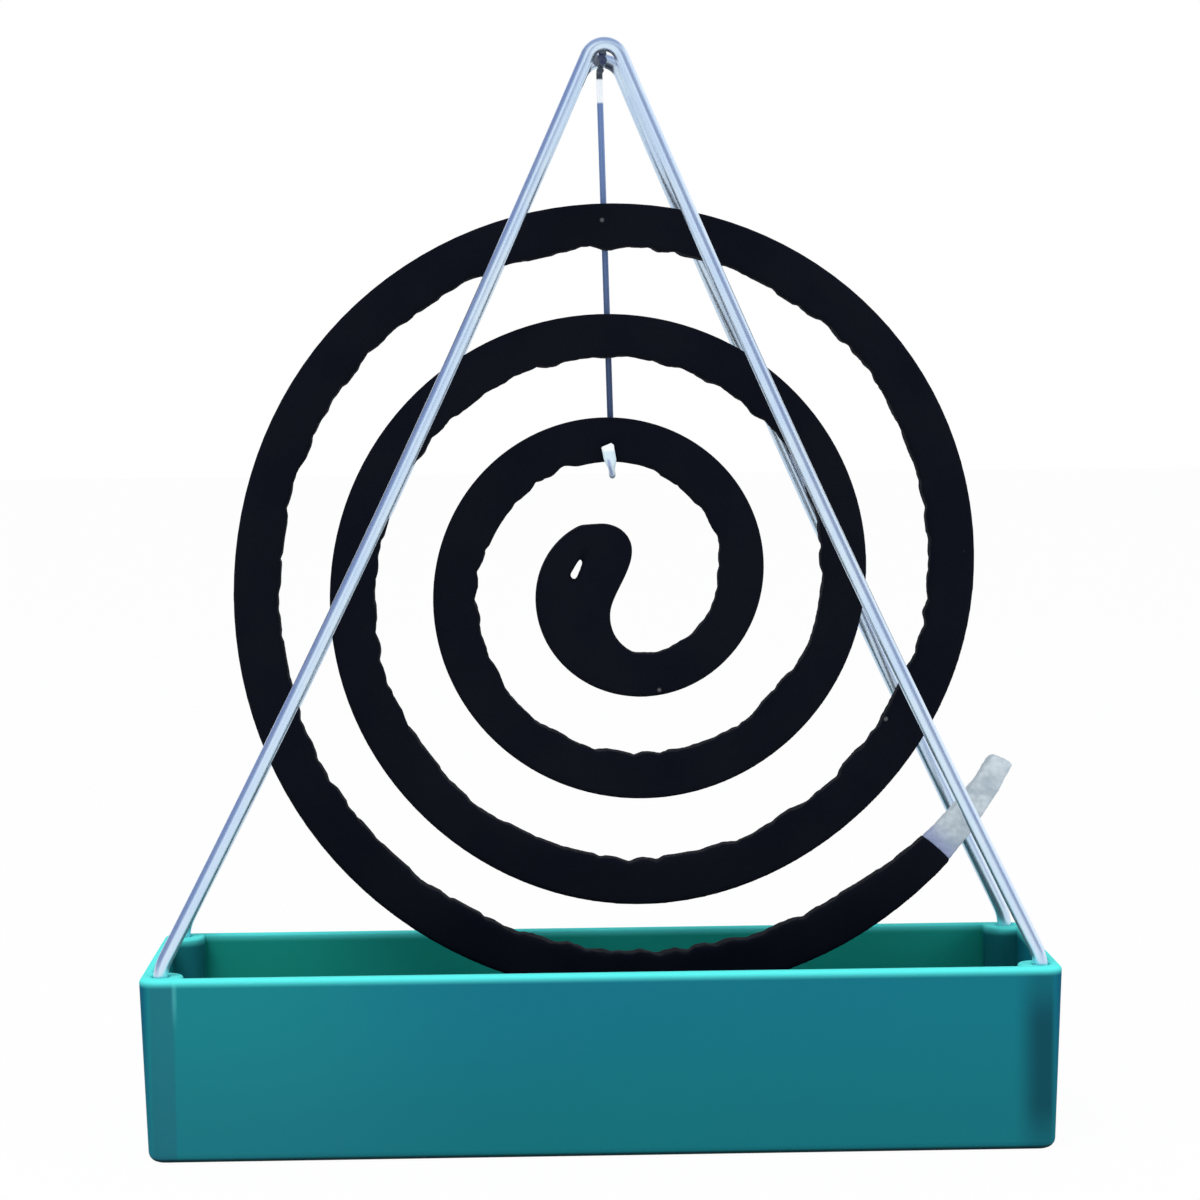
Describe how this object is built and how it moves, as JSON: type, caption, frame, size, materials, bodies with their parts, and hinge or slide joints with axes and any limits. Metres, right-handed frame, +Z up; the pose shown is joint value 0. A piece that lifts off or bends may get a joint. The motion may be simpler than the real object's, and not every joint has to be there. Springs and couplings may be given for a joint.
{
  "type": "mosquito coil holder",
  "caption": "Free-standing holder: a wire stand plugged into a moulded tray has a hook under its top, and a burning spiral coil hangs on it, so that its ash falls into the tray.",
  "frame": {"origin": "middle of the tray's underside, on the surface that it stands on", "axes": "+X to the right along the tray, +Y to the back, +Z up"},
  "size_m": [0.1506, 0.046, 0.1826],
  "materials": {
    "turquoise_plastic": "smooth moulded turquoise plastic, satin to glossy",
    "plated_wire": "bright plated steel wire with fine drawing lines",
    "pressed_charcoal": "matt blue-black pressed powder with crumbled inner edges",
    "burnt_ash": "pale matt ash, mottled and crumbly"
  },
  "bodies": {
    "tray": {"tray": "turquoise_plastic"},
    "stand": {"front_frame": "plated_wire", "rear_frame": "plated_wire", "crossbar": "plated_wire", "hanging_hook": "plated_wire"},
    "coil": {"mosquito_coil": "pressed_charcoal", "ash_end": "burnt_ash"}
  },
  "joints": [
    {"name": "stand_lift", "type": "slide", "parent": "tray", "child": "stand", "axis": [0, 0, 1], "range_m": [0, 0.012]},
    {"name": "coil_swing", "type": "hinge", "parent": "stand", "child": "coil", "pos_m": [0.00305, 0, 0.1137], "axis": [0, 1, 0], "range_deg": [-20, 20]}
  ]
}
